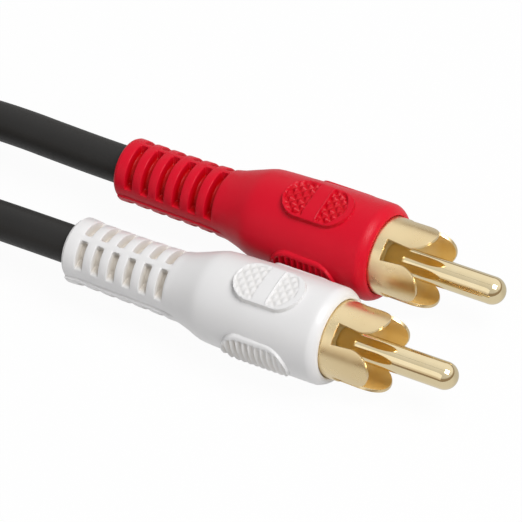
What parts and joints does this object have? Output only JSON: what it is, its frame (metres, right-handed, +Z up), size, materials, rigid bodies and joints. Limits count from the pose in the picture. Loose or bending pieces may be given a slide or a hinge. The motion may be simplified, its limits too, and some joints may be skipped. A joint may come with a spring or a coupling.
{
  "type": "audio y-cable",
  "caption": "Short audio Y-cable with a red and a white moulded phono plug, gold-plated contacts, slotted strain reliefs and black legs joining to a stereo plug.",
  "frame": {"origin": "centre of the base of the two phono plugs' bounding box, on the surface that they lie on", "axes": "+X along the phono plugs towards their pin tips, +Z up, red plug on +Y"},
  "size_m": [0.2215, 0.0244, 0.012],
  "materials": {
    "red_moulding": "satin, fine moulded grain",
    "white_moulding": "satin, smooth",
    "black_moulding": "satin",
    "black_jacket": "matte PVC",
    "gold_plate": "polished gold plate",
    "copper_wire": "bare copper",
    "tinned_splice": "tinned",
    "pale_plastic": "natural polyethylene",
    "black_insulator": "satin"
  },
  "bodies": {
    "root": {"red_plug_moulding": "red_moulding", "red_plug_shell": "gold_plate", "red_plug_pin": "gold_plate", "red_insulator": "pale_plastic", "red_inner_mould": "pale_plastic", "red_core_insulation": "pale_plastic", "red_core_conductor": "copper_wire", "red_shield_pigtail": "copper_wire", "red_leg": "black_jacket", "white_plug_moulding": "white_moulding", "white_plug_shell": "gold_plate", "white_plug_pin": "gold_plate", "white_insulator": "pale_plastic", "white_inner_mould": "pale_plastic", "white_core_insulation": "pale_plastic", "white_core_conductor": "copper_wire", "white_shield_pigtail": "copper_wire", "white_leg": "black_jacket", "junction_moulding": "black_moulding", "junction_red_splice": "tinned_splice", "junction_white_splice": "tinned_splice", "junction_ground_splice": "tinned_splice", "trunk": "black_jacket", "stereo_plug_moulding": "black_moulding", "stereo_plug_sleeve": "gold_plate", "stereo_plug_ring": "gold_plate", "stereo_plug_tip": "gold_plate", "stereo_front_insulator": "black_insulator", "stereo_rear_insulator": "black_insulator", "stereo_tip_wire": "copper_wire", "stereo_ring_wire": "copper_wire", "stereo_sleeve_wire": "copper_wire"}
  },
  "joints": []
}
